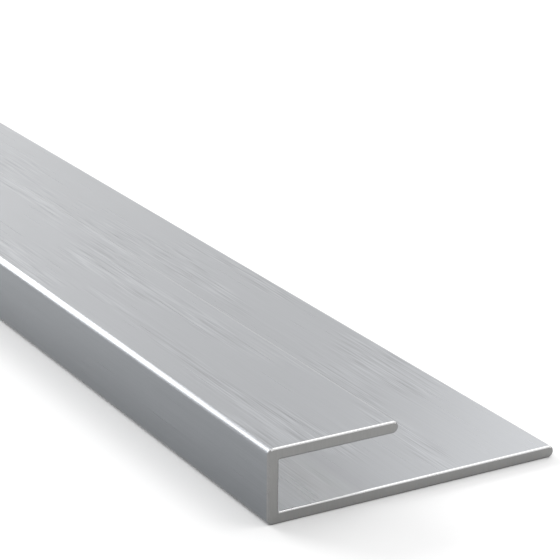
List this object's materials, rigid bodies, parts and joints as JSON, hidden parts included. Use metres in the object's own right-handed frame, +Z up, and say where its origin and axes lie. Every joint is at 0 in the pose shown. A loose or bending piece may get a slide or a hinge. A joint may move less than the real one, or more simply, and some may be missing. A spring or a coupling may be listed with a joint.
{
  "type": "unequal-leg u-channel trim",
  "caption": "Extruded aluminium edge trim with an unequal-leg U section: a long flat fixing leg, a web and a short leg that cap a panel's edge.",
  "frame": {"origin": "middle of the long leg's outer face, which is the face it is fixed by and lies on", "axes": "+X along the length, +Y across the section from the web to the long leg's tip, +Z up from the long leg's outer face to the short leg"},
  "size_m": [1, 0.04, 0.0094],
  "materials": {
    "brushed_aluminium": "satin, brushed along the length"
  },
  "bodies": {
    "root": {"channel_trim": "brushed_aluminium"}
  },
  "joints": []
}
